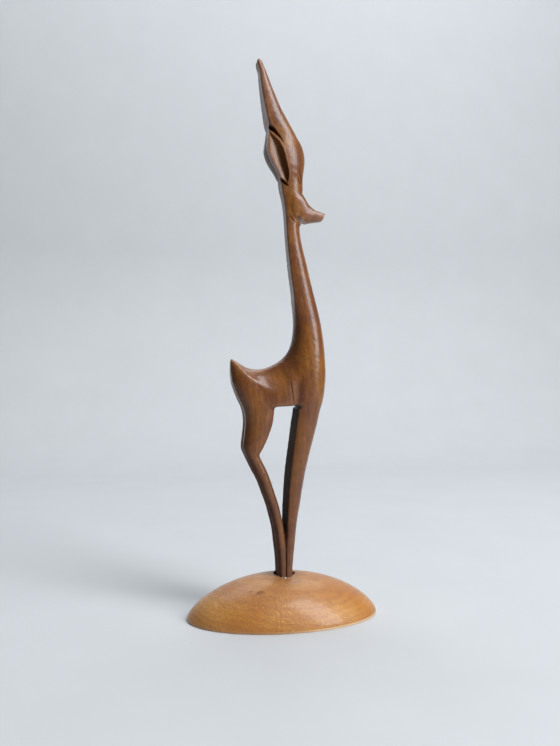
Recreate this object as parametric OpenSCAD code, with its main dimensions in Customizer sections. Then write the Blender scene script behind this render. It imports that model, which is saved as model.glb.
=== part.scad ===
// Carved antelope on an oval base. The animal faces +X, and the two halves mirror each other across y = 0.
// The origin is the middle of the base's underside, which rests on the table.

/* [Overall] */
// Height from the table to the horn tips
total_h = 298; // [284:1:312]
// Greatest thickness of the carved blank, side to side
blank_w = 18.8; // [17:0.2:20]

/* [Base] */
// Length of the oval base
base_l = 103; // [90:0.2:115]
// Width of the oval base
base_w = 59.4; // [54:0.2:65]
// Height of the dome at its crown
base_h = 23; // [21:0.2:24]
// Height of the small upright edge under the dome
base_edge = 1; // [0.8:0.1:2]

/* [Peg and socket] */
// Diameter of the hole drilled in the base
socket_d = 11.6; // [10:0.2:12]
// Depth of the hole below the crown
socket_depth = 14; // [11:0.5:16]
// Gap all round between peg and hole, where the glue sits
glue_gap = 0.4; // [0.3:0.1:0.6]
// Height of the ring of glue in the hole
glue_depth = 8; // [4:0.5:9]

/* [Carving] */
// Depth of the hollow in each ear
ear_hollow = 3; // [2:0.2:3.6]
// Depth of the V groove cut between paired legs
leg_groove = 2.6; // [1:0.2:3.2]
// Depth of the groove between the two horns
horn_groove = 2; // [1:0.2:2.4]

/* [Hidden] */

ring_n = 26;                        // points round one slice
layer = 5.42;                       // height of one slice of horns, neck and forelegs
hind_layer = layer * 0.8;
back_layer = layer * 0.7;
fine_layer = 1.6;                   // spacing of the muzzle's slices
ear_layer = 2.1;                     // and of the ear's
ear_n = 16;
tip_z = 298;                        // horn tips in the tables below
foot_z = 21;                        // where the leg grooves end
w = blank_w / 18.8;                 // widths below are written for the default blank
peg_d = socket_d - 2 * glue_gap;
socket_x = 0.6;                     // the legs come down just ahead of the middle
socket_floor = base_h - socket_depth;
peg_bottom = socket_floor + 1;      // the peg stops short of the drilled floor
figure_h = total_h - peg_bottom;
fit_gap = 0.15;                     // between the foot and the dome under it
peg_drop = 1.6;                     // the round of the peg ends this far below the crown
glue_drop = 3;                      // and the glue this far

// Horns, head with the ears, neck, chest and forelegs, from the tips down:
// height, back, front, half width, flat share of the back, squareness
TRUNK = [
    [298, -13.9, -12.5, 3.4, 0.7, 2.2],
    [290, -13.5, -9.6, 4.2, 0.8, 2.2],
    [280, -12.0, -5.7, 5.4, 0.85, 2.2],
    [270, -10.3, -1.4, 6.6, 0.85, 2.2],
    [262, -8.9, 3.2, 7.6, 0.85, 2.1],
    [255, -8.9, 8.0, 8.2, 0.88, 2.1],
    [249.5, -9.5, 10.4, 8.5, 0.9, 2.1],
    [243, -7.5, 11.6, 8.1, 0.9, 2.1],
    [236, -3.9, 10.9, 6.9, 0.9, 2.1],
    [229, -1.4, 10.8, 5.6, 0.86, 2.1],
    [219, 0.2, 9.6, 5.0, 0.84, 2.1],
    [207, 1.2, 9.0, 4.8, 0.84, 2.1],
    [190, 2.7, 12.3, 5.1, 0.82, 2.2],
    [172.5, 4.7, 16.4, 6.0, 0.76, 2.2],
    [156, 5.5, 20.5, 7.3, 0.55, 2.3],
    [142, 3.0, 22.5, 8.6, 0.1, 2.4],
    [128, 3.0, 23.1, 9.4, 0.1, 2.4],
    [118, 5.5, 22.1, 9.4, 0.6, 2.4],
    [110, 6.8, 20.2, 9.0, 0.88, 2.4],
    [94, 4.6, 16.0, 8.6, 0.88, 2.4],
    [73, 2.0, 11.1, 8.3, 0.88, 2.4],
    [52, 0.8, 7.1, 8.2, 0.9, 2.3],
    [36, 0.4, 4.9, 8.1, 0.9, 2.2],
    [19.5, 0.3, 3.9, 7.9, 0.9, 2.1]
];

// Tail tip, rump, thighs, hocks and shanks, from the tip down, in the same columns
HIND = [
    [138.3, -28.3, -27.6, 0.5, 0, 2],
    [136, -28.7, -23.4, 2.8, 0.2, 2],
    [132, -28.8, -14, 5.7, 0.3, 2.2],
    [126, -28.2, -8, 8.0, 0.4, 2.3],
    [119, -25.8, -5.5, 8.9, 0.5, 2.4],
    [111, -22.4, -5.9, 8.9, 0.5, 2.5],
    [103, -21.3, -6.9, 8.7, 0.5, 2.6],
    [95, -22.2, -9.8, 8.6, 0.5, 2.6],
    [88.5, -22.2, -13.0, 8.4, 0.5, 2.6],
    [82, -19.2, -11.4, 8.2, 0.5, 2.6],
    [73, -14.2, -7.8, 8.0, 0.5, 2.6],
    [60, -9.3, -3.4, 7.9, 0.5, 2.6],
    [46, -5.8, -0.4, 7.9, 0.5, 2.6],
    [34, -4.2, 0.8, 7.8, 0.5, 2.6],
    [19.5, -3.4, 1.0, 7.6, 0.5, 2.6]
];

belly_z = 112.6;                    // flat saw cut under the belly
under = belly_z - 1;                // the back's slices run a little past that cut

// The back between tail and neck:
// distance along X, height of the spine, height of the ridge on the flank, half width, underside
BACK = [
    [-25.5, 136.3, 134.4, 2.2, 131],
    [-21, 133.6, 129.5, 5.2, 122],
    [-16, 132.3, 126, 7.4, under],
    [-11, 132.5, 123, 8.6, under],
    [-5, 135.5, 121.5, 9, under],
    [0, 140.3, 123, 9, under],
    [5, 148.4, 129, 8.4, under],
    [12, 158, 140, 7.2, under]
];

// The muzzle, from inside the face out to the cut end: X, top, bottom, half width
MUZZLE = [
    [5, 229.6, 212.2, 5.2],
    [8.5, 228, 210.5, 5.4],
    [12, 224.2, 210.9, 5.0],
    [16.5, 219.6, 211.7, 4.2],
    [20, 218, 212.5, 3.7],
    [22.4, 217, 213.1, 3.4]
];

// The hollow of an ear as seen from its side: height, back edge, front edge, depth as a share of ear_hollow
EAR = [
    [256.8, -8.7, -7.9, 0.15],
    [253.6, -9.4, -4.6, 0.7],
    [248.5, -9.2, -1.4, 1],
    [242.5, -7.0, 0.6, 1],
    [237, -3.8, 2.0, 0.8],
    [233, -0.8, 1.8, 0.35]
];

// cubic interpolation of a row of a table at position s in its first column, which may rise or fall
function span_at(t, s, i = 0) = i >= len(t) - 2 || (s - t[i][0]) * (s - t[i + 1][0]) <= 0 ? i
    : span_at(t, s, i + 1);
function slope(t, i) = i == 0 ? (t[1] - t[0]) / (t[1][0] - t[0][0])
    : i == len(t) - 1 ? (t[i] - t[i - 1]) / (t[i][0] - t[i - 1][0])
    : (t[i + 1] - t[i - 1]) / (t[i + 1][0] - t[i - 1][0]);
function hermite(p, q, m, n, d, u) = (2 * u^3 - 3 * u^2 + 1) * p + (u^3 - 2 * u^2 + u) * d * m
    + (3 * u^2 - 2 * u^3) * q + (u^3 - u^2) * d * n;
function row_at(t, s) = let (i = span_at(t, s), d = t[i + 1][0] - t[i][0])
    hermite(t[i], t[i + 1], slope(t, i), slope(t, i + 1), d, (s - t[i][0]) / d);
function first(t) = t[0][0];
function last(t) = t[len(t) - 1][0];
function steps(t, pitch) = let (n = ceil(abs(last(t) - first(t)) / pitch))
    [for (k = [0:n]) first(t) + (last(t) - first(t)) * k / n];

// signed power, which squares up an ellipse
function spow(v, e) = sign(v) * pow(abs(v), e);

// one level slice: an oval cut off flat where it would pass the back
function slice(r) = let (depth = (r[2] - r[1]) / (1 + sqrt(1 - r[4]^2)), mid = r[2] - depth, e = 2 / r[5])
    [for (k = [0:ring_n - 1]) let (a = 360 * k / ring_n)
        [max(mid + depth * spow(cos(a), e), r[1]), w * r[3] * spow(sin(a), e), r[0]]];

// one upright slice of the back: round on top down to the flank ridge, then straight to the underside
function back_slice(r) = [for (k = [0:ring_n - 1]) let (a = 360 * k / ring_n)
    [r[0], -w * r[3] * spow(cos(a), sin(a) > 0 ? 1 : 0.3),
        sin(a) > 0 ? r[2] + (r[1] - r[2]) * sin(a) : r[2] + (r[2] - r[4]) * spow(sin(a), 0.3)]];

// one upright slice of the muzzle
function muzzle_slice(r) = [for (k = [0:ring_n - 1]) let (a = 360 * k / ring_n)
    [r[0], -w * r[3] * spow(cos(a), 0.8), (r[1] + r[2]) / 2 + (r[1] - r[2]) / 2 * spow(sin(a), 0.8)]];

// skin over a stack of slices, closed at both ends
module skin(rings) {
    n = len(rings[0]);
    rows = len(rings);
    walls = [for (i = [0:rows - 2], k = [0:n - 1])
        [i * n + k, i * n + (k + 1) % n, (i + 1) * n + (k + 1) % n, (i + 1) * n + k]];
    cap_a = [for (k = [n - 1:-1:0]) k];
    cap_b = [for (k = [0:n - 1]) (rows - 1) * n + k];
    polyhedron([for (r = rings, p = r) p], concat([cap_a], walls, [cap_b]));
}

module trunk() {
    skin([for (z = steps(TRUNK, layer)) slice(row_at(TRUNK, z))]);
}

module hindquarters() {
    skin([for (z = steps(HIND, hind_layer)) slice(row_at(HIND, z))]);
}

module back() {
    skin([for (x = steps(BACK, back_layer)) back_slice(row_at(BACK, x))]);
}

module muzzle() {
    skin([for (x = steps(MUZZLE, fine_layer)) muzzle_slice(row_at(MUZZLE, x))]);
}

// the same cut in the right side and, mirrored, in the left one
module on_side(side) {
    mirror([0, side > 0 ? 0 : 1, 0]) children();
}

// the scoop in the ear, cut in from the side of the head
module ear_cut() {
    skin([for (z = steps(EAR, ear_layer))
        let (r = row_at(EAR, z), outer = w * row_at(TRUNK, z)[3] * 0.98, deep = max(0.2, ear_hollow * r[3]))
            [for (k = [0:ear_n - 1]) let (a = 360 * k / ear_n)
                [(r[1] + r[2]) / 2 + (r[2] - r[1]) / 2 * cos(a), outer + deep * sin(a), r[0]]]]);
}

// a V-shaped cut along a line of points [X, height], from outside the skin at y_out in to y_out - reach
module v_cut(points, y_out, reach, half) {
    for (k = [0:len(points) - 2])
        hull() for (p = [points[k], points[k + 1]])
            translate([p[0], y_out, p[1]]) rotate([90, 0, 0]) cylinder(h = reach, r1 = half, r2 = 0.1, $fn = 8);
}

// an almond slit for the eye, with the ball left standing in it
module eye_cut() {
    translate([8.6, w * 4.6, 235.2]) rotate([0, -8, -38]) difference() {
        scale([1, 1.6, 4.2]) sphere(r = 1, $fn = 16);
        translate([0, -1.5, 0]) scale([0.5, 1, 2.4]) sphere(r = 1, $fn = 12);
    }
}

// everything cut into one side of the head
module head_cuts() {
    ear_cut();
    v_cut([[-9, 260.8], [-6.4, 258.4], [-4, 256], [-2, 253.2]], w * 9.4, 3.8, 1.3);     // above the ear
    v_cut([[-2.8, 233.8], [1.4, 230.3]], w * 7.4, 2.8, 1.3);                            // below its tip
    v_cut([[3.3, 214.2], [5.3, 211.6], [8.2, 209.8]], w * 6.2, 2, 0.9);                 // line of the jaw
    eye_cut();
}

// a side view outline carried straight across the figure
module across(outline) {
    translate([0, blank_w, 0]) rotate([90, 0, 0]) linear_extrude(2 * blank_w) polygon(outline);
}

// a long V groove in the middle of a face, following the edge named by column c of a table
module face_groove(t, c, top, bottom, depth, way) {
    n = ceil((top - bottom) / (2 * layer));
    skin([for (k = [0:n])
        let (z = top + (bottom - top) * k / n, x = row_at(t, z)[c])
        let (d = depth * sin(20 + 140 * k / n), half = way * (d + 1) * 0.55)
            [[x - way * d, 0, z], [x + way, -half, z], [x + way, half, z]]]);
}

module horn_grooves() {
    face_groove(TRUNK, 1, tip_z + 4, 254, horn_groove, -1);
    face_groove(TRUNK, 2, tip_z + 4, 262, horn_groove, 1);
}

module leg_grooves() {
    face_groove(HIND, 1, 122, foot_z, leg_groove, -1);
}

// wedge that parts the muzzle from the throat, open below
module mouth_cut() {
    across([[7.7, 214], [12.5, 211.3], [12.2, 209.4], [9.4, 210.3]]);
}

// flat belly saw cut, at the top of the long gap between hind legs and forelegs
module belly_cut() {
    across([[-6.9, belly_z], [8.6, belly_z], [6.7, 108], [-6.1, 108]]);
}

// thin saw line in each side where hind feet and fore feet touch
module foot_line() {
    for (side = [-1, 1])
        translate([0.4, side * w * 8.4, 34]) cube([0.5, 5, 30], center = true);
}

module dome(grow, sides) {
    resize([base_l + 2 * grow, base_w + 2 * grow, base_h + grow])
        rotate_extrude($fn = sides) polygon(dome_profile(grow));
}

dome_steps = 14;
dome_n = 64;                        // sides of the dome
seat_n = 14;                        // and of the cut that fits the foot to it
dome_round = 2;                     // with a fall of 0.5 this would be a plain ellipse
dome_fall = 0.7;                    // a higher value makes the crown more pointed

// half section of the base along its length: upright edge, then a curve that eases over the crown
function dome_z(r, grow) = base_edge + (base_h + grow - base_edge) * pow(1 - pow(r, dome_round), dome_fall);
function dome_profile(grow) = concat([[0, 0], [base_l / 2, 0]],
    [for (k = [0:dome_steps - 1]) let (r = cos(90 * k / dome_steps)) [r * base_l / 2, dome_z(r, grow)]],
    [[0, base_h + grow]]);

// round in the hole, and no longer than the foot where it comes up out of it
module peg() {
    translate([socket_x, 0, peg_bottom]) cylinder(d = peg_d, h = base_h - peg_drop - peg_bottom, $fn = 48);
    intersection() {
        translate([socket_x, 0, peg_bottom]) cylinder(d = peg_d, h = base_h + 1.5 - peg_bottom, $fn = 48);
        translate([-3.2, -peg_d, peg_bottom]) cube([7, 2 * peg_d, base_h]);
    }
}

module carved_figure() {
    color([0.44, 0.27, 0.15])
        translate([0, 0, peg_bottom]) resize([0, 0, figure_h], auto = true) translate([0, 0, -peg_bottom]) {
            difference() {
                union() {
                    trunk();
                    hindquarters();
                    back();
                    muzzle();
                }
                for (side = [-1, 1]) on_side(side) head_cuts();
                mouth_cut();
                horn_grooves();
                leg_grooves();
                belly_cut();
                foot_line();
                dome(fit_gap, seat_n);
            }
            peg();
        }
}

module domed_base() {
    color([0.70, 0.46, 0.22])
        difference() {
            dome(0, dome_n);
            translate([socket_x, 0, socket_floor]) cylinder(d = socket_d, h = socket_depth + 5, $fn = 96);
        }
}

// hard glue that fills the gap between peg and hole
module glue_seam() {
    tall = min(glue_depth, socket_depth - glue_drop - 1);
    color([0.86, 0.80, 0.66])
        translate([socket_x, 0, base_h - glue_drop - tall]) difference() {
            cylinder(d = socket_d, h = tall, $fn = 96);
            translate([0, 0, -1]) cylinder(d = peg_d, h = tall + 2, $fn = 96);
        }
}

carved_figure();
domed_base();
glue_seam();
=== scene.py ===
import bpy
import numpy as np
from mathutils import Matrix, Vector


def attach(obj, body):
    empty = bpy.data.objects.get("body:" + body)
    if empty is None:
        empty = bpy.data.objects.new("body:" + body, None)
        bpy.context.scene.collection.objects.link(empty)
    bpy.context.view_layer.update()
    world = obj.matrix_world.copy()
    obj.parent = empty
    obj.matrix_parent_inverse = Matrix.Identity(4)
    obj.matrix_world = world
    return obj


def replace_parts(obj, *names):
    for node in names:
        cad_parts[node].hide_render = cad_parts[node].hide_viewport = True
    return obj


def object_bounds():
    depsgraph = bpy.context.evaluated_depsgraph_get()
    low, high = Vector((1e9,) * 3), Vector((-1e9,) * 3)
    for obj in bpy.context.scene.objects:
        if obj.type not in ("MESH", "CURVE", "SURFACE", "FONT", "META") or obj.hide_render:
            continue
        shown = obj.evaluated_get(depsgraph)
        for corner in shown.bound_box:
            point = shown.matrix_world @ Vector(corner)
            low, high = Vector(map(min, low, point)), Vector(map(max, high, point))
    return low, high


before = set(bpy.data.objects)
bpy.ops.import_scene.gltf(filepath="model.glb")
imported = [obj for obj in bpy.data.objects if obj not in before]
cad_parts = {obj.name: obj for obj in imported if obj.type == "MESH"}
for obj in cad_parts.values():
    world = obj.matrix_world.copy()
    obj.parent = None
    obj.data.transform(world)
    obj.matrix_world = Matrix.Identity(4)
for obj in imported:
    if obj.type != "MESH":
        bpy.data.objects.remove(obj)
cadLow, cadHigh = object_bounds()
statueTall = 298
mm = (cadHigh.z - cadLow.z) / statueTall  # the stations below are millimetres of a statue this tall
print("frame loaded, statue height", round(cadHigh.z - cadLow.z, 4))


def power(v, e):  # a power that keeps its sign, which squares up or pinches an ellipse
    return np.sign(v) * np.abs(v) ** e


def rowsAt(table, at):
    # smooth curve through the rows of a table: a cubic between each pair of rows, its slopes those of the
    # parabola through three neighbours, worked out for every position in at together
    rows = np.array(table, float)
    rows = rows[rows[:, 0].argsort()]
    key, at = rows[:, 0], np.asarray(at, float)
    slope = np.gradient(rows, key, axis=0)
    i = np.clip(np.searchsorted(key, at) - 1, 0, len(key) - 2)
    d = key[i + 1] - key[i]
    u = ((at - key[i]) / d)[..., None]
    d = d[..., None]
    out = (2 * u**3 - 3 * u**2 + 1) * rows[i] + (u**3 - 2 * u**2 + u) * d * slope[i]
    out += (3 * u**2 - 2 * u**3) * rows[i + 1] + (u**3 - u**2) * d * slope[i + 1]
    return np.moveaxis(out, -1, 0)


def between(a, b, pitch):  # even positions from a to b about pitch apart
    return np.linspace(a, b, max(2, int(np.ceil(abs(b - a) / pitch)) + 1))


def bump(v, middle, reach):  # 1 at the middle, falling smoothly to 0 at reach on either side
    return np.clip(1 - ((v - middle) / reach) ** 2, 0, 1) ** 2


def coordsOf(mesh):
    flat = np.empty(len(mesh.vertices) * 3)
    mesh.vertices.foreach_get("co", flat)
    return flat.reshape(-1, 3)


def faceOut(mesh):  # a closed mesh of negative volume is inside out, so its faces are turned
    mesh.calc_loop_triangles()
    corners = np.empty(len(mesh.loop_triangles) * 3, int)
    mesh.loop_triangles.foreach_get("vertices", corners)
    a, b, c = coordsOf(mesh)[corners.reshape(-1, 3)].transpose(1, 0, 2)
    if np.einsum("ij,ij->i", a, np.cross(b, c)).sum() < 0:
        mesh.flip_normals()


def skin(name, grid, comesRound=False):
    # grid is rows of closed rings, every ring the same length: walls join ring to ring, and a fan from the
    # middle of the first and of the last ring closes the ends unless the rows themselves come round again
    rows, around = grid.shape[:2]
    i, k = np.meshgrid(np.arange(rows if comesRound else rows - 1), np.arange(around), indexing="ij")
    nextRow, nextPoint = (i + 1) % rows, (k + 1) % around
    here, there = i * around, nextRow * around
    walls = np.stack([here + k, here + nextPoint, there + nextPoint, there + k], -1)
    points = grid.reshape(-1, 3)
    faces = walls.reshape(-1, 4).tolist()
    if not comesRound:
        ring, onward = np.arange(around), (np.arange(around) + 1) % around
        firstHub, lastHub = len(points), len(points) + 1
        points = np.vstack([points, grid[0].mean(0), grid[-1].mean(0)])
        foot = (rows - 1) * around
        faces += np.stack([onward, ring, np.full(around, firstHub)], -1).tolist()
        faces += np.stack([foot + ring, foot + onward, np.full(around, lastHub)], -1).tolist()
    mesh = bpy.data.meshes.new(name)
    mesh.from_pydata((points * mm).tolist(), [], faces)
    faceOut(mesh)
    piece = bpy.data.objects.new(name, mesh)
    bpy.context.scene.collection.objects.link(piece)
    return piece


def settle(piece):  # bakes the modifiers on a piece into its mesh
    seen = piece.evaluated_get(bpy.context.evaluated_depsgraph_get())
    mesh = bpy.data.meshes.new_from_object(seen)
    piece.modifiers.clear()
    piece.data = mesh
    return piece


def join(piece, other, way="DIFFERENCE"):
    made = piece.modifiers.new(other.name, "BOOLEAN")
    made.operation, made.solver, made.object = way, "MANIFOLD", other


def discard(pieces):
    for piece in pieces:
        bpy.data.objects.remove(piece)


def meanOfNeighbours(mesh):
    # gives a function: the mean, over each vertex's neighbours, of any values laid out by vertex
    pairs = np.empty(len(mesh.edges) * 2, int)
    mesh.edges.foreach_get("vertices", pairs)
    a, b = pairs.reshape(-1, 2).T
    count = len(mesh.vertices)
    here, there = np.concatenate([a, b]), np.concatenate([b, a])
    degree = np.bincount(here, minlength=count)
    mean = lambda v: np.bincount(here, weights=v[there], minlength=count) / np.maximum(degree, 1)
    return lambda spots: np.stack([mean(spots[:, n]) for n in range(spots.shape[1])], -1)


def setAttribute(mesh, name, values):
    made = mesh.attributes.new(name, "FLOAT", "POINT")
    made.data.foreach_set("value", np.ascontiguousarray(values, dtype=np.float32))


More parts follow.
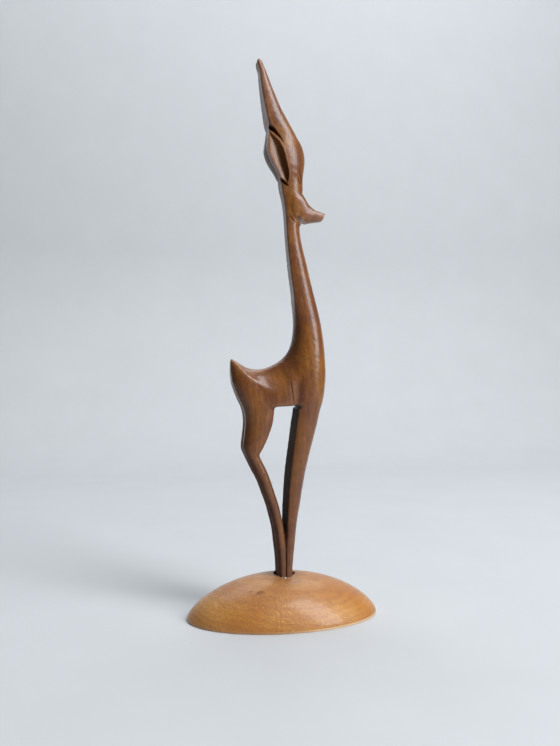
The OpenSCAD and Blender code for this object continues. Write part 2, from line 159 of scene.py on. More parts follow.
carving = {
    # height, back, front, half width, flat share of the back, of the front, squareness, V at the back
    "trunk": [
        [270, -8.6, -3.0, 5.0, 0.3, 0, 2.1, 0],
        [264, -8.9, 2.2, 7.0, 0.75, 0, 2.1, 0],
        [259, -8.7, 5.8, 7.9, 0.85, 0, 2.1, 0.2],
        [255, -9.2, 8.9, 8.3, 0.88, 0, 2.1, 0.5],
        [250.8, -9.6, 10.9, 8.5, 0.92, 0, 2.1, 0.6],
        [246.5, -8.6, 11.8, 8.5, 0.92, 0, 2.1, 0.6],
        [242, -6.4, 11.7, 8.0, 0.92, 0, 2.1, 0.6],
        [238, -3.9, 11.1, 7.2, 0.92, 0, 2.1, 0.5],
        [234.4, -2.4, 10.8, 6.3, 0.9, 0, 2.1, 0.2],
        [229, -1.5, 10.8, 5.6, 0.86, 0, 2.1, 0],
        [224, -0.4, 10.3, 5.1, 0.84, 0, 2.1, 0],
        [216, 0.7, 9.4, 4.8, 0.84, 0, 2.1, 0],
        [207, 1.3, 9.1, 4.8, 0.84, 0, 2.1, 0],
        [198.7, 1.9, 10.5, 4.9, 0.84, 0, 2.1, 0],
        [190, 2.8, 12.7, 5.1, 0.82, 0, 2.15, 0],
        [181.4, 3.8, 14.7, 5.5, 0.8, 0, 2.2, 0],
        [172.7, 5.0, 16.9, 6.0, 0.76, 0, 2.2, 0],
        [164, 5.5, 19.1, 6.6, 0.7, 0, 2.25, 0],
        [155, 5.6, 21.0, 7.4, 0.55, 0, 2.3, 0],
        [147, 4.4, 22.1, 8.2, 0.2, 0, 2.35, 0],
        [138, 3.0, 22.9, 9.0, 0, 0, 2.4, 0],
        [129, 3.0, 23.2, 9.4, 0, 0, 2.4, 0],
        [120.5, 4.0, 22.5, 9.5, 0.4, 0, 2.4, 0],
        [115, 6.6, 21.6, 9.3, 0.8, 0, 2.35, 0],
        [111, 6.9, 20.4, 9.0, 0.86, 0, 2.3, 0],
        [103, 5.7, 18.5, 8.8, 0.86, 0, 2.3, 0],
        [94.4, 4.6, 16.2, 8.6, 0.86, 0.1, 2.3, 0],
        [85.7, 3.4, 13.8, 8.5, 0.87, 0.2, 2.3, 0],
        [77, 2.3, 11.8, 8.4, 0.88, 0.2, 2.3, 0],
        [68.4, 1.6, 10.0, 8.3, 0.89, 0.3, 2.35, 0],
        [59.8, 1.1, 8.4, 8.2, 0.9, 0.4, 2.4, 0],
        [51.2, 0.8, 6.7, 8.2, 0.9, 0.5, 2.5, 0],
        [42.6, 0.6, 5.6, 8.1, 0.9, 0.6, 2.6, 0],
        [34, 0.5, 4.7, 8.1, 0.9, 0.6, 2.7, 0],
        [25.3, 0.5, 4.0, 8.0, 0.9, 0.6, 2.7, 0],
        [19, 0.5, 3.9, 7.9, 0.9, 0.6, 2.7, 0],
    ],
    # one horn: height, back, front, half width, distance of its middle from the centre plane
    "horn": [
        [298, -13.9, -12.9, 0.8, 2.2],
        [297.2, -14.5, -12.1, 1.5, 2.15],
        [295.8, -14.5, -11.5, 1.8, 2.1],
        [292.5, -13.5, -10.0, 2.1, 2.1],
        [287, -12.9, -7.9, 2.35, 2.3],
        [280, -12.0, -5.1, 2.8, 2.7],
        [271.7, -10.7, -1.6, 3.4, 3.2],
        [263.4, -9.0, 2.9, 4.1, 3.7],
        [256, -6.0, 7.0, 4.4, 3.6],
        [250, -3.0, 9.0, 4.0, 3.0],
    ],
    # tail, rump, thighs, hocks and shanks, in the trunk's columns
    "hind": [
        [138.3, -28.4, -27.8, 0.5, 0, 0, 2.0, 0],
        [136.5, -28.7, -24.0, 2.6, 0.2, 0, 2.1, 0],
        [133.5, -28.8, -17.0, 5.0, 0.3, 0, 2.2, 0],
        [129, -28.6, -10.0, 7.2, 0.35, 0, 2.3, 0],
        [124.8, -27.9, -7.0, 8.3, 0.4, 0, 2.4, 0.3],
        [120.5, -26.4, -5.5, 8.8, 0.45, 0, 2.4, 1.0],
        [116, -24.5, -5.4, 8.9, 0.5, 0.3, 2.4, 2.0],
        [111.8, -22.5, -5.8, 8.9, 0.5, 0.6, 2.5, 2.6],
        [107.6, -21.5, -6.2, 8.8, 0.5, 0.65, 2.5, 2.8],
        [103, -21.3, -6.9, 8.7, 0.5, 0.65, 2.5, 2.8],
        [98.7, -21.7, -8.3, 8.6, 0.5, 0.65, 2.5, 2.8],
        [94.4, -22.2, -10.0, 8.6, 0.5, 0.65, 2.5, 2.6],
        [90, -22.4, -12.1, 8.5, 0.5, 0.65, 2.5, 2.4],
        [86.8, -21.2, -13.8, 8.4, 0.5, 0.65, 2.5, 2.2],
        [84.2, -19.9, -12.7, 8.3, 0.5, 0.65, 2.5, 2.0],
        [79, -17.4, -10.1, 8.2, 0.5, 0.65, 2.5, 2.0],
        [72.8, -14.1, -7.7, 8.1, 0.5, 0.65, 2.5, 1.9],
        [66, -11.5, -5.4, 8.0, 0.5, 0.65, 2.5, 1.8],
        [59.8, -9.2, -3.4, 8.0, 0.5, 0.65, 2.5, 1.7],
        [53, -7.3, -1.8, 7.9, 0.5, 0.65, 2.5, 1.5],
        [46.9, -5.8, -0.7, 7.9, 0.5, 0.7, 2.5, 1.3],
        [38.3, -4.7, -0.1, 7.9, 0.5, 0.8, 2.5, 1.0],
        [29.6, -3.7, 0.2, 7.8, 0.5, 0.85, 2.6, 0.7],
        [19, -3.3, 0.3, 7.6, 0.5, 0.85, 2.7, 0.5],
    ],
    # along X: spine, ridge on the flank, half width there, underside
    "saddle": [
        [-28.4, 138.4, 137.8, 0.8, 137],
        [-26.5, 137.1, 135.8, 3.0, 132],
        [-24.4, 135.8, 133.6, 4.8, 127],
        [-21, 133.7, 130.4, 6.4, 120],
        [-17.7, 132.6, 127.3, 7.6, 113],
        [-13.5, 132.3, 123.8, 8.5, 111],
        [-9.1, 133.2, 121.4, 9.0, 111],
        [-5, 135.4, 120.4, 9.3, 111],
        [-2.2, 137.5, 120.6, 9.4, 111],
        [1, 140.8, 122, 9.3, 111],
        [4, 146.2, 126, 8.9, 111],
        [7, 153, 131, 8.2, 111],
        [12, 160, 140, 7.2, 111],
    ],
    "saddleCrown": 1.8,
    "grooveHalf": 2.3,
    # along X: top, underside, half width of the jaw and muzzle
    "muzzle": [
        [2.8, 231, 213.8, 4.6],
        [4.4, 231, 211.8, 5.4],
        [8, 229, 210.2, 5.5],
        [11.0, 226.2, 210.5, 5.2],
        [13, 222.6, 211.2, 4.8],
        [16.2, 219.5, 211.8, 4.2],
        [20, 218.0, 212.4, 3.7],
        [23, 217.0, 213.2, 3.4],
        [26, 216.4, 214.0, 3.2],
    ],
    # the hollow of an ear: height, back edge, front edge, depth
    "earHollow": [
        [257.4, -8.9, -8.2, 0.3],
        [255.6, -9.3, -6.6, 1.4],
        [253.6, -9.8, -4.4, 2.3],
        [250.8, -9.9, -2.3, 3.1],
        [247.6, -9.4, -0.9, 3.6],
        [244.6, -8.2, 0.0, 3.7],
        [241.2, -6.6, 1.0, 3.6],
        [238.2, -4.7, 1.9, 3.2],
        [235.2, -2.7, 2.2, 2.4],
        [233.2, -0.9, 1.9, 1.4],
        [231.8, 0.8, 1.6, 0.4],
    ],
    "hollowRoot": 0.78,  # share of the hollow's width, from its back edge, where it is deepest
    "hollowStep": 0.3,  # share of the depth that the back edge drops at once
    # V cuts on the trunk's side: back or front place, height, half width, depth
    "earCrevice": [
        [-9.6, 261.2, 1.5, 3.4],
        [-8.4, 260.2, 1.5, 3.2],
        [-6.6, 258.6, 1.15, 2.6],
        [-4.6, 256.5, 0.85, 1.8],
        [-2.7, 254.3, 0.5, 1.0],
        [-1.4, 252.2, 0.2, 0.3],
    ],
    "earNotch": [
        [-3.4, 234.2, 1.5, 2.6],
        [-1.8, 232.9, 1.5, 2.5],
        [0.0, 231.4, 1.1, 1.9],
        [1.7, 230.1, 0.4, 0.6],
    ],
    "upperLid": [
        [7.4, 239.2, 0.2, 0.3],
        [8.5, 237.2, 0.45, 1.0],
        [9.1, 234.9, 0.55, 1.2],
        [9.2, 233.0, 0.5, 1.1],
        [8.7, 231.4, 0.2, 0.3],
    ],
    "lowerLid": [
        [7.3, 235.6, 0.1, 0.1],
        [7.5, 233.6, 0.4, 0.7],
        [8.4, 231.2, 0.3, 0.4],
    ],
    # V cuts on flat sides: place, distance from the centre plane, height, half width, depth
    "jawLine": [
        [2.6, 5.2, 215.6, 0.15, 0.3],
        [4.0, 5.3, 213.1, 0.5, 1.3],
        [5.4, 5.4, 211.6, 0.6, 1.5],
        [8.2, 5.4, 209.6, 0.6, 1.4],
    ],
    "mouth": [[7.0, 215.2], [9.4, 213.0], [12.8, 211.0], [12.4, 208.6], [10.3, 209.4], [8.4, 211.5]],
    "kerf": [
        [-0.6, 8.2, 49, 0.35, 2.5],
        [0.0, 8.1, 42, 0.32, 2.4],
        [0.25, 8.1, 34, 0.28, 2.0],
        [0.4, 8.0, 26, 0.22, 1.6],
        [0.4, 7.9, 18, 0.2, 1.2],
    ],
    "crack": [
        [2.2, -9.3, 128.5, 0.10, 0.4],
        [2.6, -9.4, 126.2, 0.24, 1.2],
        [3.5, -9.4, 120.0, 0.28, 1.3],
        [4.4, -9.3, 112.4, 0.24, 1.2],
    ],
    # outlines in the side view, carried straight across: X, height
    "gap": [
        [-6.3, 112.3],
        [-7.6, 112.35],
        [-7.6, 111.85],
        [-5.9, 111.9],
        [-5.9, 106],
        [6.2, 106],
        [6.75, 111],
        [9.2, 112.6],
        [9.1, 113.1],
    ],
    "gapHalf": 14,
    "noseCut": [[22.8, 216.6], [21.6, 213.0], [20.2, 212.0], [30, 208], [30, 222]],
    "hornStop": [[-10.5, 259.6], [-8.0, 258.7], [-10.5, 258.0]],
    "earStop": [[-4.4, 236.2], [-1.7, 234.6], [-3.6, 233.4]],
    "cutHalf": 12,
    "web": [[-2.2, 19], [3.2, 19], [2.6, 40], [0.3, 45.5], [-2.4, 40]],
    "webHalf": 5.4,
    "voxel": 0.54,
    "levelPitch": 0.7,
    "finePitch": 0.5,
    # softening by moving vertices toward the mean of their neighbours
    "sandPasses": 4,
    "neckPasses": 220,
    "neckX": [5, 15],  # middle and reach of the hollow where the neck rises from the back
    "neckZ": [146, 24],
    "wave": 0.02,
}


def ovalTerms(table, z):
    # the oval behind a level ring: its middle, its depth either way along X, and its half width
    _, back, front, half, flatBack, flatFront, square, groove = rowsAt(table, z)
    rise = lambda flat: np.sqrt(1 - np.clip(flat, 0, 0.98) ** 2)
    depth = (front - back) / (rise(flatBack) + rise(flatFront))
    return back + depth * rise(flatBack), depth, half, back, front, square, groove


def levelRings(table, pitch, around=144):
    # one level ring for each height: x = middle + depth * cos^(2/n), y = half width * sin^(2/n), cut off flat
    # where it would pass the back or the front, then a V pressed into the back
    z = between(table[0][0], table[-1][0], pitch)
    middle, depth, half, back, front, square, groove = [v[:, None] for v in ovalTerms(table, z)]
    turn = np.linspace(0, 2 * np.pi, around, endpoint=False)[None]
    x = np.clip(middle + depth * power(np.cos(turn), 2 / square), back, front)
    y = half * power(np.sin(turn), 2 / square)
    press = np.clip(1 - np.abs(y) / carving["grooveHalf"], 0, None)
    x = x + press * np.where(np.cos(turn) < 0, groove, 0)
    return np.stack([x, y, z[:, None] + 0 * x], -1)


def trunkSide(x, z):  # how far the trunk's side stands from the centre plane, half * (1 - |u|^n)^(1/n)
    middle, depth, half, _, _, square, _ = ovalTerms(carving["trunk"], z)
    u = np.clip(np.abs((x - middle) / depth), 0, 0.995)
    return half * (1 - u**square) ** (1 / square)


def hornRings(table, side, pitch, around=72, flat=0.9):
    # one horn: level ovals with a flat back, their middles leaning out from the centre plane
    z = between(table[0][0], table[-1][0], pitch)
    _, back, front, half, middle = rowsAt(table, z)[..., None]
    turn = np.linspace(0, 2 * np.pi, around, endpoint=False)[None]
    depth = (front - back) / (1 + np.sqrt(1 - flat**2))
    x = np.maximum(front - depth + depth * np.cos(turn), back)
    y = side * middle + half * np.sin(turn)
    return np.stack([x, y, z[:, None] + 0 * x], -1)


def crownRings(table, crown, pitch, around=96):
    # one upright ring for each place along X: a crowned top that drops to a ridge on each flank, by
    # (half width fraction)^crown, then plumb sides and a flat underside
    x = between(table[0][0], table[-1][0], pitch)
    _, spine, ridge, half, under = rowsAt(table, x)[..., None]
    turn = np.linspace(0, 2 * np.pi, around, endpoint=False)[None]
    over = np.sin(turn) >= 0
    y = half * np.where(over, np.cos(turn), power(np.cos(turn), 0.3))
    top = spine - (spine - ridge) * np.abs(np.cos(turn)) ** crown
    low = ridge + (ridge - under) * power(np.sin(turn), 0.3)
    return np.stack([x[:, None] + 0 * y, -y, np.where(over, top, low)], -1)


def saddleWasteRings(table, crown, pitch, spread=1.6, lift=30, across=41):
    # the waste above the crowned top, carried past the flanks, so that the tail's ridges come out crisp
    x = between(table[0][0] - 1, -4, pitch)
    _, spine, ridge, half, _ = rowsAt(table, np.clip(x, table[0][0], None))[..., None]
    share = np.linspace(-spread, spread, across)[None]
    y = (half + 1.5) * share
    bottom = spine - (spine - ridge) * np.abs(y / np.maximum(half, 0.5)) ** crown
    bottom = np.maximum(bottom, spine - 26)
    lower = np.stack([x[:, None] + 0 * y, y, bottom], -1)
    upper = np.stack([x[:, None] + 0 * y, y, spine + lift + 0 * y], -1)[:, ::-1]
    return np.concatenate([lower, upper], 1)


def muzzleRings(table, pitch, around=72, square=0.75):
    # one upright ring for each place along X, a squared oval from underside to top
    x = between(table[0][0], table[-1][0], pitch)
    _, top, under, half = rowsAt(table, x)[..., None]
    turn = np.linspace(0, 2 * np.pi, around, endpoint=False)[None]
    y = half * power(np.cos(turn), square)
    z = (top + under) / 2 + (top - under) / 2 * power(np.sin(turn), square)
    return np.stack([x[:, None] + 0 * y, -y, z], -1)


def hollowRings(table, side, pitch=0.5, across=41, clear=2.5):
    # the scoop in an ear: level rings whose inner line sinks below the ear's side as a lopsided V, gently
    # from the back edge down to its root and steeply up to the front edge
    z = between(table[0][0], table[-1][0], pitch)
    _, back, front, depth = rowsAt(table, z)[..., None]
    share = np.linspace(0, 1, across)[None]
    x = back + np.maximum(front - back, 0.3) * share
    root = carving["hollowRoot"]
    step = carving["hollowStep"]
    floor = step * np.clip(share / 0.05, 0, 1) + (1 - step) * (share / root) ** 1.2
    sink = np.where(share < root, floor, np.clip((1 - share) / (1 - root), 0, 1) ** 0.5)
    high = z[:, None] + 0 * x
    flank = trunkSide(x, high)
    inner = np.stack([x, side * (flank - np.maximum(depth, 0.2) * sink), high], -1)
    outer = np.stack([x, side * (flank + clear), high], -1)[:, ::-1]
    return np.concatenate([inner, outer], 1)


def blockRings(outline, halfY):  # a flat outline in the side view carried straight across both sides
    corners = np.array(outline, float)
    ring = lambda y: np.stack([corners[:, 0], np.full(len(corners), y), corners[:, 1]], -1)
    return np.stack([ring(-halfY), ring(halfY)])


def furrowRings(path, side, onTrunk=False, pitch=0.4, clear=1.0):
    # a V cut carried along a path on one side: its lips stand clear of the surface and its root goes in by
    # the depth, along the surface's own level normal where the path lies on the trunk
    rows = np.array(path, float)
    if onTrunk:
        rows = np.insert(rows, 1, trunkSide(rows[:, 0], rows[:, 1]), axis=1)
    length = np.concatenate([[0], np.cumsum(np.hypot(np.diff(rows[:, 0]), np.diff(rows[:, 2])))])
    _, x, y, z, half, depth = rowsAt(np.column_stack([length, rows]), between(0, length[-1], pitch))
    nx, ny = np.zeros_like(x), np.ones_like(x)
    if onTrunk:
        y = trunkSide(x, z)
        lean = (trunkSide(x + 0.2, z) - trunkSide(x - 0.2, z)) / 0.4
        nx, ny = -lean / np.hypot(lean, 1), 1 / np.hypot(lean, 1)
    else:
        y = np.abs(y)
    dx, dz = np.gradient(x), np.gradient(z)
    run = np.hypot(dx, dz)
    ax, az = -dz / run, dx / run  # across the furrow, in the side view
    half, depth = np.maximum(half, 0.05), np.maximum(depth, 0.05)
    lip = half * (clear + depth) / depth

    def spot(out, across):
        alongX = x + nx * out + ny * ax * across
        alongY = side * (y + ny * out - nx * ax * across)
        return np.stack([alongX, alongY, z + az * across], -1)

    return np.stack([spot(clear, lip), spot(-depth, 0 * lip), spot(clear, -lip)], 1)


def pegRings(low, high, back=-99, front=99, around=64):
    # a round peg, cut off flat where it would stand out past the foot
    z = np.array([low, high], float)[:, None]
    turn = np.linspace(0, 2 * np.pi, around, endpoint=False)[None]
    x = np.clip(block["holeX"] + block["pegR"] * np.cos(turn), back, front)
    return np.stack([x + 0 * z, block["pegR"] * np.sin(turn) + 0 * z, z + 0 * x], -1)


def buildFigure():
    # the solids are joined, the waste is sawn away, and one skin is drawn over the whole blank
    level, fine = carving["levelPitch"], carving["finePitch"]
    saddle, crown = carving["saddle"], carving["saddleCrown"]
    parts = [skin("trunk", levelRings(carving["trunk"], level))]
    parts.append(skin("hind", levelRings(carving["hind"], level)))
    parts.append(skin("torso", crownRings(saddle, crown, level)))
    parts.append(skin("muzzle", muzzleRings(carving["muzzle"], fine)))
    parts.append(skin("web", blockRings(carving["web"], carving["webHalf"])))
    for side in (-1, 1):
        parts.append(skin("horn", hornRings(carving["horn"], side, fine)))
    figure = parts[0]
    waste = [skin("saddleWaste", saddleWasteRings(saddle, crown, 0.6))]
    join(parts[1], waste[0])
    for part in parts[1:]:
        join(figure, part, "UNION")
    waste.append(skin("gap", blockRings(carving["gap"], carving["gapHalf"])))
    for name in ("noseCut", "hornStop", "earStop"):
        waste.append(skin(name, blockRings(carving[name], carving["cutHalf"])))
    for cutter in waste[1:]:
        join(figure, cutter)
    settle(figure)
    blank = figure.modifiers.new("oneBlank", "REMESH")
    blank.mode, blank.voxel_size = "VOXEL", carving["voxel"] * mm
    settle(figure)
    discard(parts[1:] + waste)
    sandDown(figure)
    knifeWork(figure)
    figure.name = "carvedAntelope"
    return figure


def sandDown(figure):
    # rounds the arrises a little everywhere and the hollow of the neck's foot a lot, by moving vertices
    # toward the mean of their neighbours, then lays the faint waves of hand work over the skin
    mesh = figure.data
    spots = coordsOf(mesh) / mm
    neighbours = meanOfNeighbours(mesh)
    for _ in range(carving["sandPasses"]):
        spots += 0.5 * (neighbours(spots) - spots)
    x, _, z = spots.T
    blend = (bump(x, *carving["neckX"]) * bump(z, *carving["neckZ"]))[:, None]
    for _ in range(carving["neckPasses"]):
        spots += 0.55 * blend * (neighbours(spots) - spots)
    x, y, z = spots.T
    wave = np.sin(0.9 * z + 0.7 * x) * np.sin(0.5 * z - 1.1 * y)
    wave += np.sin(1.7 * z + 1.3 * y) * np.sin(0.6 * x + 0.35 * z)
    normals = np.empty(len(mesh.vertices) * 3)
    mesh.vertices.foreach_get("normal", normals)
    spots += carving["wave"] * wave[:, None] * normals.reshape(-1, 3)
    mesh.vertices.foreach_set("co", (spots * mm).ravel())
    mesh.update()


def knifeWork(figure):
    # crisp cuts after the sanding, then the dome's shape taken out of the feet and the peg added
    cuts = [skin("mouth", blockRings(carving["mouth"], carving["cutHalf"]))]
    for side in (-1, 1):
        cuts.append(skin("earHollow", hollowRings(carving["earHollow"], side)))
        for name in ("earCrevice", "earNotch", "upperLid", "lowerLid"):
            cuts.append(skin(name, furrowRings(carving[name], side, True)))
        for name in ("jawLine", "kerf"):
            cuts.append(skin(name, furrowRings(carving[name], side)))
    cuts.append(skin("crack", furrowRings(carving["crack"], -1)))
    cuts.append(skin("domeUnder", domeRings(block["fitGap"], solid=True)))
    for cutter in cuts:
        join(figure, cutter)
    foot = block["holeFloor"] + 1
    pegs = [skin("peg", pegRings(foot, block["tall"] - block["pegDrop"]))]
    pegs.append(skin("tenon", pegRings(foot, block["tall"] + block["tenonRise"], *block["tenonX"])))
    for peg in pegs:
        join(figure, peg, "UNION")
    settle(figure)
    discard(cuts + pegs)


block = {
    "halfLong": 51.5,
    "halfWide": 29.7,
    "tall": 23,
    "edge": 1.0,  # upright edge under the dome
    "arris": 0.35,
    "round": 2,
    "fall": 0.7,
    "holeX": 0.6,
    "holeR": 5.8,
    "holeFloor": 9,
    "pegR": 5.4,
    "pegDrop": 1.8,  # the round part ends this far under the crown
    "tenonRise": 1.5,
    "tenonX": [-3.3, 4.3],
    "fitGap": 0.12,
}


def domeHigh(share, grow=0):  # the crown's height, edge + rise * (1 - share^round)^fall
    rise = block["tall"] + grow - block["edge"]
    return block["edge"] + rise * np.clip(1 - share ** block["round"], 0, 1) ** block["fall"]


def domeRings(grow=0, solid=False, around=240):
    # from the hole's floor up its wall, out over the dome along lines that open from the hole's circle to
    # the base's oval, round the lower arris and under; a solid dome starts at its crown instead
    turn = np.linspace(0, 2 * np.pi, around, endpoint=False)
    hole = np.stack([block["holeX"] + block["holeR"] * np.cos(turn), block["holeR"] * np.sin(turn)], -1)
    rim = np.stack([block["halfLong"] * np.cos(turn), block["halfWide"] * np.sin(turn)], -1)
    if solid:
        hole = rim * 0.004
    share = np.sin(np.linspace(0, np.pi / 2, 90))[:, None, None]
    flat = hole + (rim - hole) * share
    far = np.hypot(flat[..., 0] / block["halfLong"], flat[..., 1] / block["halfWide"])
    crown = np.concatenate([flat, domeHigh(far, grow)[..., None]], -1)
    level = lambda outline, z: np.concatenate([outline, np.full((around, 1), float(z))], -1)[None]
    rows = [crown]
    if not solid:
        mouth = crown[0][None]
        wider = mouth + np.array([0, 0, -block["arris"]])
        floor = block["holeFloor"]
        rows = [level(hole * 0.5 + 0.5 * hole.mean(0), floor), level(hole, floor), wider, crown[1:]]
    under = rim * 0.992
    rows += [level(rim, block["arris"]), level(under, 0), level(rim * 0.6, 0)]
    return np.concatenate(rows)


squeeze = {
    "fromTurn": 212,  # degrees round the foot, 270 being its right side
    "toTurn": 305,
    "footX": 0.5,
    "reachX": 4.3,
    "reachY": 8.2,
    "thin": 0.12,
    "lump": 0.42,
}


def beadRings(around=20, rows=120):
    # a thin round bead carried along the foot's oval outline, swelling into lumps by a product of sines
    t = np.linspace(0, 1, rows)
    turn = np.radians(squeeze["fromTurn"] + (squeeze["toTurn"] - squeeze["fromTurn"]) * t)
    x = squeeze["footX"] + squeeze["reachX"] * power(np.cos(turn), 0.8)
    y = squeeze["reachY"] * power(np.sin(turn), 0.8)
    lumps = np.clip(np.sin(19 * t + 0.8) * np.sin(7.3 * t + 0.5) + 0.35 * np.sin(41 * t), 0, 1)
    radius = (squeeze["thin"] + squeeze["lump"] * lumps) * np.sin(np.pi * np.clip(t, 0.01, 0.99)) ** 0.3
    z = domeHigh(np.hypot(x / block["halfLong"], y / block["halfWide"])) + 0.1
    wide = np.linspace(0, 2 * np.pi, around, endpoint=False)[None]
    nx, ny = (x - squeeze["footX"]) / 5, y / 8
    length = np.hypot(nx, ny)
    outX, outY = (nx / length)[:, None], (ny / length)[:, None]
    out = radius[:, None] * np.cos(wide) * 1.3
    up = radius[:, None] * np.sin(wide) * 0.8
    return np.stack([x[:, None] + out * outX, y[:, None] + out * outY, z[:, None] + up], -1)


class Wire:  # one value in a material's node tree, so that sums of values read as sums
    def __init__(self, tree, socket=None):
        self.tree, self.socket = tree, socket

    def node(self, kind, settings=None, values=None, out=0):
        made = self.tree.nodes.new(kind)
        for name, value in (settings or {}).items():
            setattr(made, name, value)
        for name, value in (values or {}).items():
            if isinstance(value, Wire):
                self.tree.links.new(value.socket, made.inputs[name])
            else:
                made.inputs[name].default_value = value
        return Wire(self.tree, made.outputs[out])

    def maths(self, kind, *terms):
        return self.node("ShaderNodeMath", {"operation": kind}, dict(enumerate(terms)))

    def __add__(self, other):
        return self.maths("ADD", self, other)

    def __sub__(self, other):
        return self.maths("SUBTRACT", self, other)

    def __rsub__(self, other):
        return self.maths("SUBTRACT", other, self)

    def __mul__(self, other):
        return self.maths("MULTIPLY", self, other)

    __radd__, __rmul__ = __add__, __mul__

    def sine(self):
        return self.maths("SINE", self)

    def size(self):
        return self.maths("ABSOLUTE", self)

    def ramp(self, low, high, start=0.0, end=1.0):
        values = {"From Min": low, "From Max": high, "To Min": start, "To Max": end, "Value": self}
        return self.node("ShaderNodeMapRange", {"interpolation_type": "SMOOTHSTEP"}, values)

    def tint(self, plain, full):  # a colour between two, this value saying how much of the second
        settings = {"data_type": "RGBA", "clamp_factor": True}
        return self.node("ShaderNodeMix", settings, {0: self, 6: plain, 7: full}, 2)

    def stretch(self, x, y, z):
        return self.node("ShaderNodeVectorMath", {"operation": "MULTIPLY"}, {0: self, 1: (x, y, z)})

    def moved(self, x, y, z):
        return self.node("ShaderNodeVectorMath", {"operation": "ADD"}, {0: self, 1: (x, y, z)})

    def far(self):
        return self.node("ShaderNodeVectorMath", {"operation": "LENGTH"}, {0: self}, 1)

    def noise(self, size, detail=3.0, rough=0.5):
        values = {"Vector": self, "Scale": 1 / size, "Detail": detail, "Roughness": rough}
        return self.node("ShaderNodeTexNoise", None, values)

    def part(self, axis):
        return self.node("ShaderNodeSeparateXYZ", None, {0: self}, axis)

    def attribute(self, name):
        return self.node("ShaderNodeAttribute", {"attribute_name": name}, None, 2)


def material(name, shader, paint):
    # a Principled material: shader holds its even values, paint(start, place) gives the varying ones, and
    # a height in millimetres, from the place in the object in millimetres
    made = bpy.data.materials.new(name)
    made.use_nodes = True
    tree = made.node_tree
    surface = tree.nodes["Principled BSDF"]
    for key, value in shader.items():
        surface.inputs[key].default_value = value
    start = Wire(tree)
    place = start.node("ShaderNodeTexCoord", None, None, 3).stretch(1 / mm, 1 / mm, 1 / mm)
    varying = paint(start, place)
    height = varying.pop("height", None)
    if height:
        raised = start.node("ShaderNodeBump", None, {"Distance": mm, "Height": height})
        varying["Normal"] = raised
    for key, value in varying.items():
        tree.links.new(value.socket, surface.inputs[key])
    return made


def rgb(red, green, blue):
    return (red, green, blue, 1.0)


figureLook = {
    "dark": rgb(0.060, 0.016, 0.004),
    "red": rgb(0.205, 0.066, 0.020),
    "honey": rgb(0.315, 0.116, 0.015),
    "mauve": rgb(0.260, 0.110, 0.075),
    "stain": rgb(0.020, 0.007, 0.004),
    "worn": rgb(0.42, 0.21, 0.11),
    "sawn": rgb(0.034, 0.021, 0.014),
    "pithX": 34.0,
    "pithY": 21.0,
    "ringWide": 2.6,
    "gloss": 0.27,
    "polish": 0.42,
}


def paintFigure(start, place):
    look = figureLook
    drift = place.stretch(1, 1, 0.22).noise(9, 3)
    fromPith = place.stretch(1, 1, 0).moved(-look["pithX"], -look["pithY"], 0).far()
    rings = ((fromPith + drift * 7) * (2 * np.pi / look["ringWide"])).sine().ramp(-1, 1)
    fibre = place.stretch(1, 1, 0.09).noise(0.4, 4, 0.6)
    pores = place.stretch(1, 1, 0.07).noise(0.5, 2, 0.5).ramp(0.60, 0.70)
    mottle = place.moved(40, 0, 0).stretch(1, 1, 0.45).noise(11, 4, 0.6).ramp(0.36, 0.66)
    smudge = place.moved(0, 70, 0).noise(5, 4, 0.65).ramp(0.35, 0.75)
    hollow, arris, sawn = start.attribute("hollow"), start.attribute("arris"), start.attribute("sawn")
    backShade, high = start.attribute("backShade"), place.part(2)
    shade = backShade * high.ramp(100, 80)  # painted shade: the backs of the lower legs are darkened, and made dull
    base = mottle.tint(look["red"], look["honey"])
    tips = high.ramp(250, 285) * 0.85 + place.part(0).ramp(10, 17) * high.ramp(198, 207)  # horns, muzzle
    # horns and muzzle tinted mauve; on the muzzle the mauve is a painted reflection of the grey room
    base = (tips * (0.4 + 0.6 * smudge)).tint(base, look["mauve"])
    base = (rings * 0.12 + (1 - fibre.ramp(0.3, 0.7)) * 0.26 + (1 - smudge) * 0.26).tint(base, look["dark"])
    # painted shade on every face that looks back, away from the light, deeper on the backs of the lower legs
    base = (backShade * 0.65 + shade * 0.3).tint(base, look["dark"])
    base = (pores * 0.25).tint(base, look["stain"])
    base = (arris * (0.25 + smudge * 0.3)).tint(base, look["worn"])
    # painted shade: the figure grows darker towards the feet
    base = (high.ramp(138, 62) * 0.45).tint(base, look["dark"])
    base = (sawn * (0.8 + smudge * 0.15)).tint(base, look["sawn"])
    # stain and painted shade in the hollows and in the ear's scoop
    base = (hollow * 0.85).tint(base, look["stain"])
    gloss = look["gloss"] + (fibre - 0.5) * 0.16 + pores * 0.15 + (1 - smudge) * 0.05
    gloss = gloss + sawn * 0.55 + hollow * 0.25 + shade * 0.4
    tooling = place.stretch(1, 1, 0.6).noise(2.4, 2) * 0.05 + place.noise(1.1, 3, 0.65) * 0.17
    saw = (high * 4.2 + drift * 6).sine() * sawn * 0.05 + place.noise(0.45, 2) * sawn * 0.12
    return {
        "Base Color": base,
        "Roughness": gloss,
        "Coat Weight": (1 - sawn) * (1 - hollow) * (1 - shade) * look["polish"],
        "height": tooling + fibre * 0.05 - pores * 0.05 + saw,
    }


baseLook = {
    "pale": rgb(0.58, 0.285, 0.070),
    "honey": rgb(0.46, 0.190, 0.036),
    "red": rgb(0.34, 0.122, 0.040),
    "dark": rgb(0.13, 0.045, 0.018),
    "crown": rgb(0.34, 0.150, 0.070),
    "arrisHighlight": rgb(0.78, 0.56, 0.32),
    "pithZ": -46.0,
    "pithY": -6.0,
    "ringWide": 2.3,
    # dark specks in the grain: place and size
    "specks": [
        [-15.0, -15.4, 17.2, 1.5],
        [-19.6, -13.2, 17.4, 0.9],
        [21.0, -20.5, 11.5, 0.5],
        [29.5, -17.5, 10.8, 0.5],
    ],
}


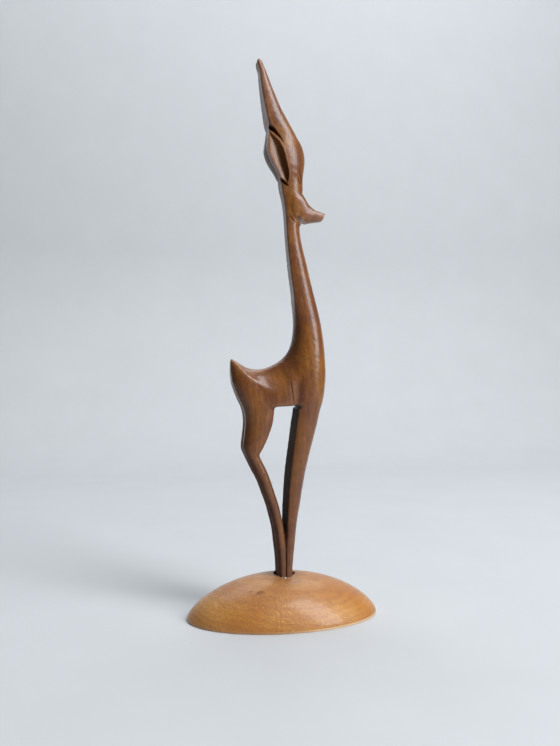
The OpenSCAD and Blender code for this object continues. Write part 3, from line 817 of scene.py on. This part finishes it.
def paintBase(start, place):
    look = baseLook
    drift = place.stretch(0.3, 1, 1).noise(14, 3)
    fromPith = place.stretch(0, 1, 1).moved(0, -look["pithY"], -look["pithZ"]).far()
    layer = fromPith + drift * 6 + place.part(0) * 0.03
    rings = (layer * (2 * np.pi / look["ringWide"])).sine().ramp(-0.6, 1)
    broad = (layer * (2 * np.pi / (look["ringWide"] * 5.3))).sine().ramp(-1, 1)
    fibre = place.stretch(0.05, 1, 1).noise(0.5, 4, 0.6)
    pores = place.stretch(0.09, 1, 1).noise(0.55, 2, 0.5).ramp(0.62, 0.7)
    cloud = place.moved(0, 0, 60).stretch(0.6, 1, 1).noise(17, 4, 0.6).ramp(0.34, 0.68)
    smudge = place.moved(30, 0, 0).noise(3.2, 4, 0.65).ramp(0.5, 0.8)
    base = cloud.tint(look["honey"], look["pale"])
    base = (rings * 0.2 + broad * 0.22 + fibre.ramp(0.35, 0.7) * 0.4).tint(base, look["red"])
    # painted shade: the top of the dome tinted darker and redder
    base = (place.part(2).ramp(9, 21) * (0.3 + smudge * 0.5)).tint(base, look["crown"])
    # painted shade: the dome darkened around the foot
    footFar = place.stretch(1, 0.75, 0).far() + drift * 6
    base = (footFar.ramp(17, 8) * 0.4).tint(base, look["dark"])
    base = (pores * 0.16 + smudge * 0.14).tint(base, look["dark"])
    for x, y, z, wide in look["specks"]:
        near = place.moved(-x, -y, -z).stretch(0.45 / wide, 1 / wide, 1 / wide).far() + fibre * 0.6
        base = (near.ramp(1.25, 0.7) * 0.6).tint(base, look["dark"])
    high = place.part(2)
    # painted highlight along the lower arris, strongest on the right where the light falls
    base = (high.ramp(1.5, 0.7) * place.part(0).ramp(-12, 20, 0.2, 0.8)).tint(base, look["arrisHighlight"])
    check = (place.part(0) + 3.8 - high * 0.9 + drift * 0.8 - 0.4).size().ramp(0.16, 0.06)  # a hairline split
    check = check * high.ramp(3.4, 2.4)
    base = (check * 0.6 * place.part(1).ramp(0, -10)).tint(base, look["dark"])
    gloss = 0.31 + (fibre - 0.5) * 0.14 + pores * 0.15 + smudge * 0.08
    tooling = place.noise(1.5, 3, 0.7) * 0.42 + place.stretch(0.5, 1, 1).noise(4, 2) * 0.12
    return {
        "Base Color": base,
        "Roughness": gloss,
        "height": tooling + fibre * 0.035 - pores * 0.05,
    }


def paintGlue(start, place):
    cloud = place.noise(0.6, 3)
    return {
        "Base Color": cloud.ramp(0.35, 0.65).tint(rgb(0.34, 0.22, 0.12), rgb(0.80, 0.72, 0.62)),
        "Roughness": 0.28 + cloud * 0.3,
        "height": cloud * 0.08,
    }


def paintFloor(start, place):
    cloud = place.noise(60, 3)
    return {
        "Base Color": cloud.tint(rgb(0.53, 0.545, 0.56), rgb(0.58, 0.595, 0.61)),
        "Roughness": 0.62 + cloud * 0.1,
    }


figureWood = material("figureWood", {"Coat Roughness": 0.19, "Specular IOR Level": 0.28}, paintFigure)
baseCoat = {"Coat Weight": 0.3, "Coat Roughness": 0.17, "Specular IOR Level": 0.36}
baseWood = material("baseWood", baseCoat, paintBase)
driedGlue = material("driedGlue", {"IOR": 1.47}, paintGlue)
floorPaint = material("floorPaint", {}, paintFloor)


def finish(piece, look, smoothAngle=None):
    piece.data.materials.clear()
    piece.data.materials.append(look)
    piece.data.shade_smooth()
    if smoothAngle:
        piece.data.set_sharp_from_angle(angle=np.radians(smoothAngle))
    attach(piece, "root")
    return piece


wearAndShade = {
    "reach": 14,  # passes of smoothing that an arris or a hollow is measured against
    "blur": 3,
    "arris": [0.05, 0.22],  # millimetres where it starts to show, and over which it grows
    "hollow": [0.05, 0.25],
    "ear": [0.3, 1.5],
    # strength of the stain and painted shade in the ear's scoop
    "earStainShade": 0.22,
    "earBox": [-10, 3, 231, 257],  # X, then height
    "backShade": [0.12, 0.5],
    "sawnFrom": 24,
    "sawnBack": [-1.5, 112],  # ahead of this X and below this height
    "sawnUnder": [105, 114],
}


def markWearAndShade(mesh):
    # how far each vertex stands out from, or lies below, the mean of the skin around it gives its arrises
    # and its hollows, which take stain and painted shade; faces that look back take painted shade, and faces
    # that look back or down between the legs keep the saw's grey
    spots = coordsOf(mesh) / mm
    neighbours = meanOfNeighbours(mesh)
    normals = np.empty(len(mesh.vertices) * 3)
    mesh.vertices.foreach_get("normal", normals)
    normals = normals.reshape(-1, 3)
    smooth = spots.copy()
    for _ in range(wearAndShade["reach"]):
        smooth += 0.6 * (neighbours(smooth) - smooth)
    stands = np.einsum("ij,ij->i", spots - smooth, normals)[:, None]
    for _ in range(wearAndShade["blur"]):
        stands += 0.6 * (neighbours(stands) - stands)
    stands = stands[:, 0]
    grow = lambda value, start, over: np.clip((value - start) / over, 0, 1)
    x, y, z = spots.T
    backX, frontX, lowZ, highZ = wearAndShade["earBox"]
    inEar = (trunkSide(x, z) - np.abs(y)) * (z > lowZ) * (z < highZ) * (x > backX) * (x < frontX)
    # the ear's scoop darkened by its depth: stain and painted shade
    hollow = np.maximum(grow(-stands, *wearAndShade["hollow"]), wearAndShade["earStainShade"] * grow(inEar, *wearAndShade["ear"]))
    setAttribute(mesh, "arris", grow(stands, *wearAndShade["arris"]))
    setAttribute(mesh, "hollow", hollow)
    # faces that look back, for painted shade
    setAttribute(mesh, "backShade", grow(-normals[:, 0], *wearAndShade["backShade"]))
    backward = grow(-normals[:, 0], 0.6, 0.3) * (x > wearAndShade["sawnBack"][0]) * (z < wearAndShade["sawnBack"][1])
    downward = grow(-normals[:, 2], 0.7, 0.2) * (z > wearAndShade["sawnUnder"][0]) * (z < wearAndShade["sawnUnder"][1])
    sawn = np.clip(backward + downward, 0, 1)[:, None] * (z > wearAndShade["sawnFrom"])[:, None]
    for _ in range(wearAndShade["blur"]):
        sawn = 0.4 * sawn + 0.6 * neighbours(sawn)
    setAttribute(mesh, "sawn", sawn[:, 0])


figure = buildFigure()
markWearAndShade(figure.data)
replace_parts(finish(figure, figureWood, 42), "carved_figure")
print("figure carved,", len(figure.data.polygons), "faces")

base = skin("ovalBase", domeRings())
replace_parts(finish(base, baseWood, 50), "domed_base")
print("base turned,", len(base.data.polygons), "faces")

finish(skin("glueBeads", beadRings()), driedGlue)
seam = bpy.data.objects["glue_seam"]
seam.data.materials.clear()
seam.data.materials.append(driedGlue)
print("glue set")


room = {
    "cameraDistance": 391.4,  # in front of the base's middle
    "cameraHeight": 130.3,
    "cameraAside": 1.63,
    "behindBeam": 11.0,  # degrees: the camera looks a little from behind the animal's right side
    "lens": 35.0,
    "sensor": 36.0,
    "wallY": 900.0,
    "sweep": 350.0,
    "halfWide": 2600.0,
    "nearY": -2200.0,
    "wallTall": 2400.0,
    "world": (0.80, 0.85, 0.90, 1),
    "worldStrength": 0.15,
}

lights = {
    # degrees round from the front to the right, degrees up, metres away, size, watts, colour
    "window": (44, 37, 1.5, (0.6, 1.8), 34, (0.96, 0.98, 1.0)),
    "wallWash": (178, 62, 1.3, (1.6, 0.8), 10, (0.94, 0.97, 1.0)),
}


def placeCamera():
    turn = np.radians(room["behindBeam"])
    ahead = np.array([np.sin(turn), np.cos(turn), 0])
    right = np.array([np.cos(turn), -np.sin(turn), 0])
    back = ahead * room["cameraDistance"] + right * room["cameraAside"]
    spot = np.array([0, 0, room["cameraHeight"]]) - back
    data = bpy.data.cameras.new("camera")
    data.lens, data.sensor_width, data.clip_start = room["lens"], room["sensor"], 0.01
    camera = bpy.data.objects.new("camera", data)
    camera.location = spot * mm
    camera.rotation_euler = (np.pi / 2, 0, -turn)
    bpy.context.scene.collection.objects.link(camera)
    bpy.context.scene.camera = camera


def placeLight(name, azimuth, elevation, distance, size, watts, tint, aim=0.14):
    a, e = np.radians(azimuth), np.radians(elevation)
    away = Vector((np.sin(a) * np.cos(e), -np.cos(a) * np.cos(e), np.sin(e)))
    data = bpy.data.lights.new(name, "AREA")
    data.shape, data.size, data.size_y, data.energy, data.color = "RECTANGLE", size[0], size[1], watts, tint
    light = bpy.data.objects.new(name, data)
    light.location = Vector((0, 0, aim)) + away * distance
    light.rotation_euler = (-away).to_track_quat("-Z", "Y").to_euler()
    bpy.context.scene.collection.objects.link(light)


def sweepFloor():
    # a floor that turns up into a wall: a straight run, a quarter circle and an upright, carried sideways
    curve = np.linspace(0, np.pi / 2, 24)
    bend, y0 = room["sweep"], room["wallY"] - room["sweep"]
    y = np.concatenate([[room["nearY"]], y0 + bend * np.sin(curve), [room["wallY"]]])
    z = np.concatenate([[0], bend * (1 - np.cos(curve)), [room["wallTall"]]])
    x = np.array([-room["halfWide"], room["halfWide"]])[:, None]
    points = np.stack([x + 0 * y, y + 0 * x, z + 0 * x], -1).reshape(-1, 3) * mm
    n = len(y)
    k = np.arange(n - 1)
    mesh = bpy.data.meshes.new("floor")
    mesh.from_pydata(points.tolist(), [], np.stack([k, n + k, n + k + 1, k + 1], -1).tolist())
    mesh.materials.append(floorPaint)
    mesh.shade_smooth()
    floor = bpy.data.objects.new("floor", mesh)
    bpy.context.scene.collection.objects.link(floor)


placeCamera()
for name, values in lights.items():
    placeLight(name, *values)
world = bpy.data.worlds.new("room")
world.use_nodes = True
sky = world.node_tree.nodes["Background"].inputs
sky["Color"].default_value, sky["Strength"].default_value = room["world"], room["worldStrength"]
bpy.context.scene.world = world
bpy.context.scene.view_settings.view_transform = "Standard"
sweepFloor()
print("room set")
